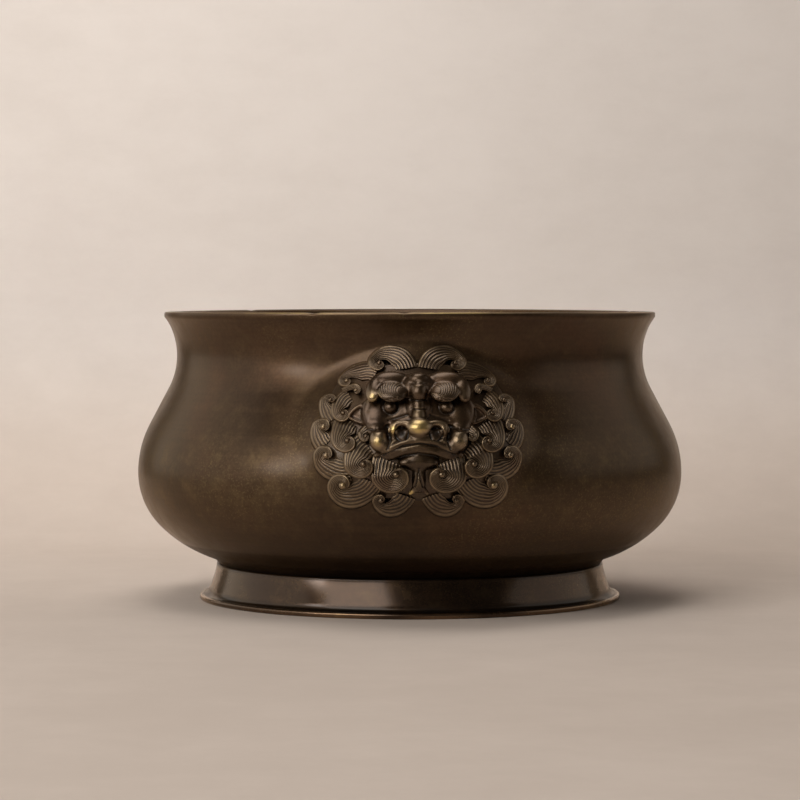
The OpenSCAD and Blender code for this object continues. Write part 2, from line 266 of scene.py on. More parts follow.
class Shader:
    """A short hand for the nodes of one material."""

    def __init__(self, name: str) -> None:
        """Starts an empty material.

        Args:
            name: Name of the material.
        """
        self.material = bpy.data.materials.new(name)
        self.material.use_nodes = True
        self.tree = self.material.node_tree
        self.tree.nodes.clear()

    def add(self, kind: str, **inputs: object) -> bpy.types.Node:
        """Adds a node.

        Args:
            kind: Type of the node.
            **inputs: Values or output sockets for its inputs, by name with underscores for spaces.

        Returns:
            The node.
        """
        node = self.tree.nodes.new(kind)
        for key, value in inputs.items():
            self.feed(node.inputs[key.replace("_", " ")], value)
        return node

    def feed(self, socket: Socket, value: object) -> None:
        """Sets or links an input.

        Args:
            socket: The input.
            value: A plain value or an output socket.
        """
        if isinstance(value, Socket):
            self.tree.links.new(value, socket)
        else:
            socket.default_value = value

    def place(self, stretch: Triple = EVEN) -> Socket:
        """Gives object coordinates.

        Args:
            stretch: Factor along each axis.

        Returns:
            The coordinates.
        """
        node = self.add("ShaderNodeTexCoord")
        if stretch == EVEN:
            return node.outputs["Object"]
        return self.add("ShaderNodeMapping", Vector=node.outputs["Object"], Scale=stretch).outputs[0]

    def noise(self, scale: float, detail: float = 4.0, rough: float = 0.55, stretch: Triple = EVEN) -> Socket:
        """Gives a noise over the object.

        Args:
            scale: Waves to a metre.
            detail: Octaves.
            rough: Share of the finer octaves.
            stretch: Factor along each axis.

        Returns:
            The noise, from 0 to 1.
        """
        node = self.add(
            "ShaderNodeTexNoise", Vector=self.place(stretch), Scale=scale, Detail=detail, Roughness=rough
        )
        return node.outputs[0]

    def span(self, value: object, low: float, high: float, to: Point = (0.0, 1.0)) -> Socket:
        """Maps a value smoothly from one range to another.

        Args:
            value: Output socket to map.
            low: Value that gives the first end.
            high: Value that gives the other end.
            to: The two ends.

        Returns:
            The mapped value.
        """
        node = self.add("ShaderNodeMapRange")
        node.interpolation_type = "SMOOTHSTEP"
        keys = ("Value", "From Min", "From Max", "To Min", "To Max")
        for key, item in zip(keys, (value, low, high, *to)):
            self.feed(node.inputs[key], item)
        return node.outputs[0]

    def sum(self, kind: str, a: object, b: object) -> Socket:
        """Works out one step of arithmetic.

        Args:
            kind: The operation.
            a: First value or socket.
            b: Second value or socket.

        Returns:
            The result.
        """
        node = self.add("ShaderNodeMath")
        node.operation = kind
        self.feed(node.inputs[0], a)
        self.feed(node.inputs[1], b)
        return node.outputs[0]

    def mix(self, share: object, a: object, b: object, blend: str = "MIX") -> Socket:
        """Mixes two colours.

        Args:
            share: Share of the second colour.
            a: First colour or socket.
            b: Second colour or socket.
            blend: Way of mixing.

        Returns:
            The mixed colour.
        """
        node = self.add("ShaderNodeMix")
        node.data_type = "RGBA"
        node.blend_type = blend
        self.feed(node.inputs[0], share)
        for socket, colour in ((node.inputs[6], a), (node.inputs[7], b)):
            self.feed(socket, (*colour, 1.0) if isinstance(colour, tuple) else colour)
        return node.outputs[2]

    def shade(self, shade: Shade) -> Socket:
        """Reads a vertex attribute.

        Args:
            shade: The attribute.

        Returns:
            Its value.
        """
        node = self.tree.nodes.new("ShaderNodeAttribute")
        node.attribute_name = shade.value
        return node.outputs["Fac"]

    def surface(self, **inputs: object) -> Material:
        """Ends the material with its shader.

        Args:
            **inputs: Values or sockets of the shader, by name with underscores for spaces.

        Returns:
            The material.
        """
        shader = self.add("ShaderNodeBsdfPrincipled", **inputs)
        out = self.tree.nodes.new("ShaderNodeOutputMaterial")
        self.tree.links.new(shader.outputs[0], out.inputs["Surface"])
        return self.material

    def front_only(self) -> Material:
        """Clears the finished surface where it is seen from behind.

        Returns:
            The material.
        """
        out = next(node for node in self.tree.nodes if node.bl_idname == "ShaderNodeOutputMaterial")
        front = out.inputs["Surface"].links[0].from_socket
        behind = self.add("ShaderNodeNewGeometry").outputs["Backfacing"]
        mixed = self.add("ShaderNodeMixShader", Fac=behind)
        self.feed(mixed.inputs[1], front)
        self.feed(mixed.inputs[2], self.add("ShaderNodeBsdfTransparent").outputs[0])
        self.feed(out.inputs["Surface"], mixed.outputs[0])
        return self.material


@dataclass(frozen=True)
class BronzeFinish:
    """Dark patinated bronze, with brass on its worn places and painted highlights, and painted shade with
    dirt in its hollows.
    """

    name: str
    deep: Colour = (0.044, 0.025, 0.012)
    brown: Colour = (0.077, 0.046, 0.022)
    gold: Colour = (0.145, 0.095, 0.042)
    red: Colour = (0.088, 0.040, 0.019)
    # Light colours of worn places, also used for painted highlights.
    rubbed_and_highlit: Colour = (0.300, 0.212, 0.120)
    brass: Colour = (0.600, 0.430, 0.160)
    fleck: Colour = (0.300, 0.215, 0.085)
    # Near black of painted shade with dirt.
    shade_and_grime: Colour = (0.012, 0.009, 0.007)
    patch_scale: float = 13.0
    streak: float = 0.2
    gold_share: float = 0.34
    red_share: float = 0.36
    rough: float = 0.37
    grain: float = 0.05
    fleck_share: float = 0.2
    metal: float = 0.88
    coat: float = 0.26
    coat_rough: float = 0.24
    edge_tint: Colour = (1.0, 0.84, 0.66)

    def build(self) -> Material:
        """Builds the material.

        Returns:
            The material.
        """
        s = Shader(self.name)
        patches = s.noise(self.patch_scale, 5.0, 0.6)
        mottle = s.noise(self.patch_scale * 9.0, 6.0, 0.65)
        flecks = s.noise(self.patch_scale * 55.0, 3.0, 0.6)
        specks = s.noise(self.patch_scale * 95.0, 2.0, 0.5)
        streaks = s.noise(9.0, 6.0, 0.75, (1.0, 1.0, 40.0))
        base = s.mix(s.span(patches, 0.32, 0.70), self.deep, self.brown)
        height = s.add("ShaderNodeSeparateXYZ", Vector=s.place()).outputs["Z"]
        belly = s.sum("MULTIPLY", s.span(height, 0.03, 0.055), s.span(height, 0.06, 0.095, (1.0, 0.0)))
        warm = s.sum("MULTIPLY", s.span(mottle, 0.44, 0.74), s.span(belly, 0.0, 1.0, (0.7, 1.5)))
        base = s.mix(s.sum("MULTIPLY", warm, self.gold_share), base, self.gold)
        blush = s.noise(self.patch_scale * 1.7, 4.0, 0.6, (1.0, 1.15, 0.9))
        flush = s.sum("ADD", s.span(blush, 0.5, 0.74), s.span(belly, 0.0, 1.0, (0.45, 0.0)))
        base = s.mix(s.sum("MULTIPLY", flush, self.red_share), base, self.red)
        handled = s.span(s.noise(self.patch_scale, 2.0), 0.48, 0.62)
        rubs = s.sum("MULTIPLY", s.span(specks, 0.54, 0.68), handled)
        base = s.mix(s.sum("MULTIPLY", rubs, self.fleck_share), base, self.fleck)
        base = s.mix(self.streak, base, s.span(streaks, 0.28, 0.72, (0.45, 1.45)), "MULTIPLY")
        base = s.mix(0.25, base, s.span(flecks, 0.3, 0.7, (0.6, 1.4)), "MULTIPLY")
        # Wear with painted highlight turns the colour rubbed and then brass; painted shade with dirt darkens
        # it to near black.
        worn_and_highlit = s.sum("MULTIPLY", s.shade(Shade.WEAR), s.span(mottle, 0.2, 0.62, (0.6, 1.0)))
        base = s.mix(s.span(worn_and_highlit, 0.0, 0.5, (0.0, 0.8)), base, self.rubbed_and_highlit)
        base = s.mix(s.span(worn_and_highlit, 0.4, 0.85), base, self.brass)
        base = s.mix(s.shade(Shade.CAVITY), base, self.shade_and_grime)
        rough = s.span(patches, 0.3, 0.7, (self.rough - 0.05, self.rough + 0.07))
        rough = s.sum("ADD", rough, s.span(mottle, 0.35, 0.7, (-0.03, 0.05)))
        rough = s.sum("ADD", rough, s.sum("MULTIPLY", s.shade(Shade.CAVITY), 0.3))
        rough = s.sum("SUBTRACT", rough, s.sum("MULTIPLY", worn_and_highlit, 0.08))
        relief = s.sum("ADD", s.sum("MULTIPLY", streaks, 0.15), s.noise(900.0, 3.0, 0.6))
        bump = s.add("ShaderNodeBump", Strength=self.grain, Distance=0.0006, Height=relief)
        return s.surface(
            Base_Color=base,
            Metallic=self.metal,
            Roughness=rough,
            Normal=bump.outputs[0],
            Coat_Weight=self.coat,
            Coat_Roughness=self.coat_rough,
            Specular_Tint=(*self.edge_tint, 1.0),
        )


@dataclass(frozen=True)
class HammeredFinish:
    """Bronze that was hammered and has dulled."""

    name: str
    dull: Colour = (0.16, 0.105, 0.055)
    bright: Colour = (0.34, 0.24, 0.12)

    def build(self) -> Material:
        """Builds the material.

        Returns:
            The material.
        """
        s = Shader(self.name)
        facets = s.add("ShaderNodeTexVoronoi", Vector=s.place(), Scale=520.0).outputs["Distance"]
        tone = s.noise(160.0, 5.0, 0.6)
        base = s.mix(s.span(tone, 0.35, 0.7), self.dull, self.bright)
        rough = s.span(s.noise(420.0), 0.3, 0.7, (0.34, 0.52))
        bump = s.add("ShaderNodeBump", Strength=0.3, Distance=0.0008, Height=facets)
        return s.surface(Base_Color=base, Metallic=0.95, Roughness=rough, Normal=bump.outputs[0])


@dataclass(frozen=True)
class PlasterFinish:
    """Pale matt plaster of the floor and the backdrop."""

    name: str
    light: Colour = (0.74, 0.68, 0.63)
    dark: Colour = (0.68, 0.62, 0.57)
    floor: Colour = (0.96, 0.90, 0.85)
    rise: Point = (0.02, 0.13)

    def build(self) -> Material:
        """Builds the material.

        Returns:
            The material.
        """
        s = Shader(self.name)
        clouds = s.noise(4.0, 6.0, 0.62, (1.0, 1.0, 0.7))
        brushed = s.noise(24.0, 6.0, 0.7, (1.0, 1.0, 2.0))
        tone = s.sum("ADD", s.sum("MULTIPLY", clouds, 0.6), s.sum("MULTIPLY", brushed, 0.4))
        base = s.mix(s.span(tone, 0.35, 0.68), self.dark, self.light)
        height = s.add("ShaderNodeSeparateXYZ", Vector=s.place()).outputs["Z"]
        base = s.mix(s.span(height, *self.rise, (1.0, 0.0)), base, self.floor, "MULTIPLY")
        s.surface(Base_Color=base, Roughness=0.9, Specular_IOR_Level=0.2)
        return s.front_only()


@dataclass(frozen=True)
class WallProfile:
    """Outside of the bowl as tangent arcs, in millimetres."""

    height: float = 127.0
    belly_r: float = 119.95
    belly_z: float = 56.0
    neck_r: float = 102.75
    lip_h: float = 19.5
    lip_curve: float = 30.0
    lip_band: float = 2.2
    thickness: float = 4.0
    shoulder_turn: float = 1.51
    shoulder_share: float = 0.6
    haunch: float = 33.0
    haunch_sweep: float = 45.0
    floor_z: float = 16.0

    @property
    def neck_z(self) -> float:
        """Height of the narrowest line."""
        return self.height - self.lip_h

    @property
    def lean(self) -> float:
        """Lean of the straight stretch between shoulder and neck, in radians."""
        return self.shoulder_turn * math.atan2(self.belly_r - self.neck_r, self.neck_z - self.belly_z)

    @property
    def s_radii(self) -> float:
        """Sum of the radii of shoulder and neck."""
        up, out = self.neck_z - self.belly_z, self.belly_r - self.neck_r
        return (up * math.sin(self.lean) - out * math.cos(self.lean)) / (1.0 - math.cos(self.lean))

    @property
    def shoulder(self) -> float:
        """Radius of the shoulder."""
        return self.s_radii * self.shoulder_share

    @property
    def neck(self) -> float:
        """Radius of the neck's hollow."""
        return self.s_radii - self.shoulder

    @property
    def under(self) -> Triple:
        """Radius of the underside's flatter arc, and its centre's distance and height."""
        turn = math.radians(self.haunch_sweep)
        r = (self.belly_z - self.floor_z - self.haunch * math.sin(turn)) / (1.0 - math.sin(turn))
        mid = self.belly_r - self.haunch + (self.haunch - r) * math.cos(turn)
        return r, mid, self.floor_z + r

    @property
    def lip_bearing(self) -> float:
        """Sweep of the lip's flare, in degrees."""
        return math.degrees(math.asin((self.lip_h - self.lip_band) / self.lip_curve))

    def radius(self, z: Array | float) -> Array:
        """Gives the outside's distance from the axis.

        Args:
            z: Heights between haunch and rim.

        Returns:
            The distances.
        """
        z = np.asarray(z, dtype=np.float64)
        straight_z = self.belly_z + self.shoulder * math.sin(self.lean)
        straight_r = self.belly_r - self.shoulder * (1.0 - math.cos(self.lean))
        hollow_z = self.neck_z - self.neck * math.sin(self.lean)
        return np.select(
            [z < self.belly_z, z < straight_z, z < hollow_z, z < self.neck_z],
            [
                self.belly_r - self.haunch + leg(self.haunch, z - self.belly_z),
                self.belly_r - self.shoulder + leg(self.shoulder, z - self.belly_z),
                straight_r - (z - straight_z) * math.tan(self.lean),
                self.neck_r + self.neck - leg(self.neck, z - self.neck_z),
            ],
            self.neck_r + self.lip_curve - leg(self.lip_curve, z - self.neck_z),
        )

    def points(self, grow: float, steps: int) -> list[Point]:
        """Lists the profile from the floor's edge to the lip.

        Args:
            grow: Distance by which the profile stands out.
            steps: Spans of one arc.

        Returns:
            Distance and height of each point.
        """
        under_r, under_mid, under_z = self.under
        lean = math.degrees(self.lean)
        haunch = (self.belly_r - self.haunch, self.belly_z)
        return (
            arc((under_mid, under_z), under_r + grow, -90, -self.haunch_sweep, steps)
            + arc(haunch, self.haunch + grow, -self.haunch_sweep, 0, steps)[1:]
            + arc((self.belly_r - self.shoulder, self.belly_z), self.shoulder + grow, 0, lean, steps)[1:]
            + arc((self.neck_r + self.neck, self.neck_z), self.neck - grow, 180 + lean, 180, steps)
            + arc(
                (self.neck_r + self.lip_curve, self.neck_z),
                self.lip_curve - grow,
                180,
                180 - self.lip_bearing,
                steps,
            )[1:]
        )


@dataclass(frozen=True)
class MaskFrame:
    """Plane of a mask: u across, v up and w out of the wall, in millimetres."""

    wall: WallProfile
    mid_z: float = 80.0
    half: float = 34.8
    swell: float = 3.2
    swell_reach: Point = (41.5, 31.5)
    swell_fade: Point = (-5.0, 8.5)
    edge: float = 2.6
    crown: float = 10.0
    reach: Point = (44.0, 35.0)
    sag: float = 0.20
    sag_from: float = 3.0

    @property
    def lean(self) -> float:
        """Backward lean of the mask, in radians."""
        low, high = self.wall.radius(self.mid_z - self.half), self.wall.radius(self.mid_z + self.half)
        return math.atan2(float(low - high), 2.0 * self.half)

    @property
    def mid_r(self) -> float:
        """Distance of the mask's middle from the axis."""
        return float(self.wall.radius(self.mid_z))

    def to_vessel(self, uvw: Array, side: Side) -> Array:
        """Carries points from a mask's plane to the vessel.

        Args:
            uvw: One row for each point.
            side: Side of the mask.

        Returns:
            The points about the vessel's axis, in millimetres.
        """
        u, v, w = uvw.T
        s, c = math.sin(self.lean), math.cos(self.lean)
        out = self.mid_r + w * c - v * s
        return np.stack([side.value * u, -side.value * out, self.mid_z + v * c + w * s], axis=1)

    def from_vessel(self, places: Array, side: Side) -> Array:
        """Carries points from the vessel to a mask's plane.

        Args:
            places: One row for each point, in millimetres.
            side: Side of the mask.

        Returns:
            The points on the mask's plane.
        """
        x, y, z = places.T
        s, c = math.sin(self.lean), math.cos(self.lean)
        out, up = -side.value * y - self.mid_r, z - self.mid_z
        return np.stack([side.value * x, up * c - out * s, out * c + up * s], axis=1)

    def swelling(self, u: Array, v: Array) -> Array:
        """Gives the rise of the wall behind and around the mask.

        Args:
            u: Places across.
            v: Places up.

        Returns:
            The heights over the wall.
        """
        wide, tall = self.swell_reach
        past = (np.hypot(u / wide, v / tall) - 1.0) * (wide + tall) / 2.0
        return self.swell * (1.0 - smooth(past, *self.swell_fade))

    def ground(self, u: Array, v: Array) -> Array:
        """Gives the height of the wall with its swelling.

        Args:
            u: Places across.
            v: Places up.

        Returns:
            The heights over the mask's plane.
        """
        s, c = math.sin(self.lean), math.cos(self.lean)
        w = np.zeros_like(u)
        for _ in range(8):
            out = self.mid_r + w * c - v * s
            w = w + (leg(self.wall.radius(self.mid_z + v * c + w * s), u) - out) * c
        return w + self.swelling(u, v)

    def mane(self, u: Array, v: Array) -> Array:
        """Gives the height of the mane's body over the mask's plane."""
        inside = np.maximum(0.0, 1.0 - np.square(u / self.reach[0]) - np.square(v / self.reach[1]))
        return self.ground(u, v) + self.edge + (self.crown - self.edge) * inside


# Bearing and half width in radians, and depth, of each ding in the rim.
RIM_DINGS: tuple[Triple, ...] = (
    (-0.405, 0.02, 0.45),
    (-0.05, 0.016, 0.4),
    (1.9, 0.022, 0.4),
    (-2.4, 0.02, 0.35),
)


@dataclass
class Bowl:
    """The cast bowl, with the swellings behind its masks."""

    wall: WallProfile
    frame: MaskFrame
    material: Material
    arc_steps: int = 16
    round_steps: int = 420
    spigot: Triple = (76.8, 80.0, 14.4)
    seat_r: float = 84.6
    lip_round: float = 0.8
    hidden_pitch: float = 7.0
    shown_pitch: float = 2.4
    inside_pitch: float = 3.6
    rim_from: float = 119.0
    rim_wave: float = 0.25
    rim_wear_and_highlight: float = 0.9

    def profile(self) -> list[Point]:
        """Lists the bowl's section, from the middle of the underside to the middle of the floor.

        Returns:
            Distance and height of each point.
        """
        w = self.wall
        bore, ring, low = self.spigot
        outer = [p for p in w.points(0.0, self.arc_steps) if p[0] > self.seat_r or p[1] > w.belly_z]
        inner = w.points(-w.thickness, self.arc_steps)
        rim_r = outer[-1][0]
        rim = arc((rim_r - self.lip_round, w.height - self.lip_round), self.lip_round, 0, 90, 4)
        under = [(0.0, w.floor_z), (bore, w.floor_z), (bore, low), (ring, low), (ring, w.floor_z)]
        seat = [(self.seat_r, w.floor_z)]
        top = [(inner[-1][0] + self.lip_round, w.height), (inner[-1][0], w.height - 0.4)]
        inside = inner[-2::-1] + [(0.0, w.floor_z + w.thickness)]
        hidden = stations(under + seat + outer[:1], self.hidden_pitch)
        shown = stations(outer + rim + top[:1], self.shown_pitch)[1:]
        return hidden + shown + stations(top + inside, self.inside_pitch)[1:]

    def build(self) -> Piece:
        """Builds the bowl.

        Returns:
            The piece.
        """
        piece = add_piece("bowl_visual", lathe(self.profile(), self.round_steps, False))
        mesh, wall = piece.data, self.wall
        places = coordinates(mesh)
        r, z, bearing = polar(places)
        outside = (z > 20.0) & (r > wall.radius(np.clip(z, 33.0, wall.height)) - 1.0) & (z < 124.0)
        for side in Side:
            near = outside & (-side.value * places[:, 1] > 60.0)
            uvw = self.frame.from_vessel(places[near], side)
            uvw[:, 2] += self.frame.swelling(uvw[:, 0], uvw[:, 1])
            places[near] = self.frame.to_vessel(uvw, side)
        rim = smooth(z, self.rim_from, wall.height)
        for at, wide, deep in RIM_DINGS:
            places[:, 2] -= deep * rim**4 * np.exp(-np.square((bearing - at) / wide))
        places[:, 2] -= self.rim_wave * rim * (1.0 - np.cos(2.0 * bearing))
        move(mesh, places * MM)
        # The rim's edge: wear, partly a painted highlight line.
        edge = smooth(z, 126.0, 126.8) * smooth(r, 107.0, 108.0)
        uneven = 0.7 + 0.3 * np.sin(bearing * 7.0 + np.sin(bearing * 3.0))
        paint(mesh, Shade.WEAR, self.rim_wear_and_highlight * edge * uneven)
        # Painted shade with some dirt in the joint over the foot, and painted shade inside the bowl and on
        # its underside next to the foot.
        seam = smooth(-z, -18.6, -16.8) * (r > 79.0)
        inside = (r < wall.neck_r - 0.5) * (z > 18.0)
        paint(mesh, Shade.CAVITY, np.maximum(0.85 * seam, 0.35 * inside))
        declare(piece, "bowl", Slot.BOWL, self.material)
        return piece


@dataclass
class Foot:
    """The foot ring and the flange soldered under it."""

    material: Material
    round_steps: int = 320
    top: Point = (85.3, 16.0)
    low_r: float = 88.6
    flare: float = 2.4
    bores: Point = (80.1, 84.3)
    bore_steps: Point = (9.6, 14.3)
    flange_r: float = 93.0
    flange_t: float = 2.4
    flange_edge: float = 0.9
    flange_bore: float = 81.1
    ledge: Point = (84.2, 4.8)

    def build(self) -> list[Piece]:
        """Builds the foot ring and the flange."""
        return [self.ring(), self.flange()]

    def ring(self) -> Piece:
        """Builds the flared ring.

        Returns:
            The piece.
        """
        (top_r, top_z), low_z = self.top, self.flange_t + self.flare
        waist = [
            (top_r + (self.low_r - top_r) * float(t**1.35), top_z - (top_z - low_z) * float(t))
            for t in np.linspace(0.0, 1.0, 14)
        ]
        fillet = arc((self.low_r + self.flare, low_z), self.flare, 180, 270, 8)[1:]
        (narrow, wide), (step_low, step_high) = self.bores, self.bore_steps
        inside = [(wide, self.flange_t), (wide, step_low), (narrow, step_high), (narrow, top_z)]
        section = stations(waist + fillet + inside, 3.0)
        piece = add_piece("foot_ring_visual", lathe(section, self.round_steps, True))
        places = coordinates(piece.data)
        r, z, bearing = polar(places)
        outer = r > top_r - 0.6
        # Painted shade with some grime near the flange and under the bowl, and painted shade inside the ring.
        shade_and_grime = np.maximum(smooth(-z, -5.6, -3.0), smooth(z, 14.6, 15.8)) * outer
        ragged = 0.7 + 0.3 * np.sin(bearing * 11.0 + 2.0 * np.sin(bearing * 5.0))
        move(piece.data, places * MM)
        paint(piece.data, Shade.WEAR, np.zeros(len(places)))
        paint(piece.data, Shade.CAVITY, np.where(outer, shade_and_grime * ragged, 0.4))
        declare(piece, "foot_ring", Slot.FOOT, self.material)
        return piece

    def flange(self) -> Piece:
        """Builds the flange that stands on the table.

        Returns:
            The piece.
        """
        edge, bore, (ledge_r, ledge_z) = self.flange_edge, self.flange_bore, self.ledge
        low = arc((self.flange_r - edge, edge), edge, -90, 0, 6)
        high = arc((self.flange_r - edge, self.flange_t - edge), edge, 0, 90, 6)
        ring = [(ledge_r, self.flange_t), (ledge_r, ledge_z), (bore, ledge_z), (bore, 0.0)]
        section = stations(low + high + ring, 2.5)
        piece = add_piece("base_flange_visual", lathe(section, self.round_steps, True))
        places = coordinates(piece.data)
        r, z, bearing = polar(places)
        # The flange's outer edge: wear, partly a painted highlight line.
        worn_and_highlit = smooth(r, 91.6, 92.7)
        wave = 0.62 + 0.38 * np.sin(bearing * 9.0 + 1.7 * np.sin(bearing * 4.0))
        dip = 0.1 * worn_and_highlit * (1.0 - np.cos(bearing * 13.0 + 3.0 * np.sin(bearing * 2.0)))
        places[:, :2] *= (1.0 - dip / np.maximum(r, 1.0))[:, None]
        move(piece.data, places * MM)
        paint(piece.data, Shade.WEAR, 0.5 * worn_and_highlit * wave)
        # Painted shade with some dirt in the crevice where the ring meets the flange.
        paint(piece.data, Shade.CAVITY, 0.9 * smooth(-r, -92.0, -90.6) * smooth(z, 1.6, 2.3))
        declare(piece, "base_flange", Slot.FOOT, self.material)
        return piece


@dataclass(frozen=True)
class Lock:
    """One lock of the mane: a fan of strands on an arc, which winds in to a bead.

    Attributes:
        eye: Middle of the winding.
        reach: Outer radius of the winding.
        bearing: Where the fan leaves the winding, in degrees.
        way: Sense of the winding.
        curve: Radius of the fan's outer edge at the winding.
        tail: Length of that edge.
        fan: Width of the fan at its tail.
        opens: How much the edge straightens towards the tail.
        lift: Height over the mane's body.
        chased: Depth of the strands.
        bead: Radius of the bead.
        gold: Wear of the bead.
        dip: Fall of the fan towards its tail.
        end: Sweep of the winding, in degrees.
        close: Sweep at which it would close up.
        pitch: Distance between strands.
        rim: Width of the raised edge.
    """

    eye: Point
    reach: float
    bearing: float
    way: int
    curve: float
    tail: float
    fan: float
    opens: float = 0.3
    lift: float = 0.0
    chased: float = 1.0
    bead: float = 1.1
    gold: float = 0.2
    dip: float = 1.2
    end: float = 290.0
    close: float = 335.0
    pitch: float = 1.35
    rim: float = 1.2

    def mirrored(self) -> "Lock":
        """Gives the lock of the other side."""
        return replace(self, eye=(-self.eye[0], self.eye[1]), bearing=180.0 - self.bearing, way=-self.way)

    def edge(self, back: Array) -> tuple[Array, Array, Array]:
        """Follows the outer edge of the fan, whose arc opens towards the tail.

        Args:
            back: Lengths from the winding to the tail.

        Returns:
            Places from the eye, across and up, and the bearing of the edge's normal.
        """
        steps = 80
        line = np.linspace(0.0, self.tail, steps + 1)
        start = math.radians(self.bearing)
        bend = np.log1p(self.opens * line / self.tail) * self.tail / (self.curve * self.opens)
        swung = start - self.way * bend
        walk = []
        for first, slope in ((math.cos(start), np.sin(swung)), (math.sin(start), -np.cos(swung))):
            strides = self.way * self.tail / steps * (slope[1:] + slope[:-1]) / 2.0
            walk.append(self.reach * first + np.concatenate(([0.0], np.cumsum(strides))))
        return tuple(np.interp(back, line, values) for values in (*walk, swung))

    def surface(self, along: Array, across: Array) -> tuple[Array, Array, Array, Array, Array]:
        """Places a sheet on the lock.

        Args:
            along: 0 at the tail and 1 at the tip.
            across: 0 at the inner edge and 1 at the outer edge.

        Returns:
            u, v, height over the mane, wear with painted highlight, and painted shade with dirt, of each
            point.
        """
        share = self.tail / (self.tail + 2.5 * self.reach)
        turn = self.end * np.clip((along - share) / (1.0 - share), 0.0, 1.0)
        back = self.tail * np.clip(1.0 - along / share, 0.0, 1.0)
        outer = self.reach * np.power(1.0 - turn / self.close, 1.1)
        wide = outer * (0.88 - 0.3 * smooth(turn, 120.0, self.end))
        wide = wide + (self.fan - 0.88 * self.reach) * smooth(back, 0.0, 0.55 * self.tail)
        depth = wide * (1.0 - across)
        start = math.radians(self.bearing)
        edge_u, edge_v, swung = self.edge(back)
        bearing = np.where(back > 0.0, swung, start + self.way * np.radians(turn))
        u = self.eye[0] + np.where(back > 0.0, edge_u, outer * np.cos(bearing)) - depth * np.cos(bearing)
        v = self.eye[1] + np.where(back > 0.0, edge_v, outer * np.sin(bearing)) - depth * np.sin(bearing)
        rim_wide = np.minimum(self.rim, 0.34 * wide)
        band = np.clip(depth / rim_wide, 0.0, 1.0)
        rim = np.sqrt(np.maximum(0.0, 1.0 - np.square(2.0 * band - 1.0)))
        count = max(3, round((max(self.fan, 0.88 * self.reach) - self.rim) / self.pitch))
        strand = np.abs(np.sin(np.pi * count * np.maximum(depth - rim_wide, 0.0) / (wide - rim_wide)))
        fade = self.chased * smooth(wide / count, 0.22, 0.55)
        in_rim = depth < rim_wide
        swell = 1.0 - np.abs(2.0 * across - 1.05) ** 2.6
        height = (
            self.lift
            + 0.8 * (1.0 - smooth(back, 0.0, 0.5 * self.tail))
            + 0.9 * smooth(turn, 40.0, 220.0)
            + 1.2 * swell
            + np.where(in_rim, 0.4 * rim, 0.42 * fade * strand)
            - self.dip * smooth(back, 0.35 * self.tail, self.tail)
        )
        # Rim and strand crests: wear, partly painted highlight. Grooves and the lock's low edges: painted
        # shade with dirt.
        wear = np.where(in_rim, 0.5 * rim, 0.48 * strand**3 * fade) * (0.7 + 0.3 * turn / self.end)
        groove = np.where(in_rim, 0.5 * (1.0 - rim), 0.62 * fade * (1.0 - smooth(strand, 0.0, 0.7)))
        cavity = np.maximum(groove, 0.3 * (1.0 - smooth(swell, -0.05, 0.3)))
        return u, v, height, wear, cavity


OUTER_LOCKS = (
    Lock((-15.4, 26.6), 5.4, 150, 1, 10.4, 27.0, 9.4, 0.1, dip=0.2),
    Lock((-28.5, 19.6), 4.3, 152, 1, 11.0, 20.0, 8.8, 0.5, lift=0.5, chased=0.8, gold=0.35, dip=0.3),
    Lock((-35.2, 11.6), 4.7, 168, -1, 12.0, 12.0, 7.4, 0.5, dip=0.7),
    Lock((-38.1, 0.3), 5.1, 150, -1, 8.5, 14.0, 8.2, 0.5, bead=1.4, gold=0.5, dip=0.7),
    Lock((-37.0, -11.2), 5.5, 170, -1, 8.2, 23.0, 9.6, 0.9, bead=1.5, gold=0.45, dip=0.2),
    Lock((-30.3, -23.4), 6.5, 180, -1, 7.6, 31.0, 10.6, 1.2, bead=1.9, gold=0.5, dip=0.2),
    Lock((-15.0, -29.4), 4.0, 200, -1, 7.4, 23.0, 8.6, 0.6, dip=0.2, bead=1.3),
)
INNER_LOCKS = (
    Lock((-25.0, 15.3), 3.2, 100, -1, 20.0, 5.5, 2.8, lift=1.9, bead=0.9, gold=0.45),
    Lock((-30.0, 6.2), 4.8, 205, 1, 8.0, 15.0, 7.4, 0.5, lift=1.3, dip=1.6),
    Lock((-28.4, -4.9), 6.6, 198, 1, 12.0, 15.0, 10.0, lift=1.4, bead=1.3, dip=1.6),
    Lock((-22.1, -14.3), 8.0, 195, 1, 12.0, 17.0, 11.0, lift=1.5, bead=1.5, dip=1.6),
    Lock((-9.1, -18.4), 10.2, 200, 1, 14.0, 12.0, 12.5, lift=1.5, bead=1.6, gold=0.3, dip=1.6),
    Lock((-21.2, -3.1), 3.6, 150, 1, 8.0, 6.0, 4.4, lift=2.2, bead=1.0),
)


